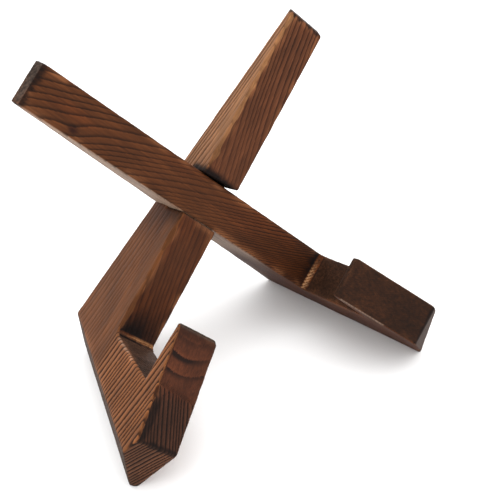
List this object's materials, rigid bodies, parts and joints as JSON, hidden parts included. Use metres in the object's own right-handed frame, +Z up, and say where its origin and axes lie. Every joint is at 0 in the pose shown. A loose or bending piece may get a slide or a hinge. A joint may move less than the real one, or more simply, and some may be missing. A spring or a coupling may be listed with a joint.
{
  "type": "book display stand",
  "caption": "Leaning X-shaped wooden display stand for a book: crossed half-lapped boards, each with a tapering back arm, a forward foot, a book notch and a hook.",
  "frame": {"origin": "middle of the footprint, on the table", "axes": "+X towards the reader's right, -Y towards the reader (the hooks' side), +Z up"},
  "size_m": [0.2178, 0.1526, 0.2042],
  "materials": {
    "stained_softwood": "scorched, wire-brushed and dark-stained softwood, low sheen"
  },
  "bodies": {
    "left_foot_board": {"left_foot_board": "stained_softwood"},
    "right_foot_board": {"right_foot_board": "stained_softwood"}
  },
  "joints": [
    {"name": "lap_slide", "type": "slide", "parent": "left_foot_board", "child": "right_foot_board", "axis": [0, -0.9694, 0.2453], "range_m": [0, 0.05]}
  ]
}
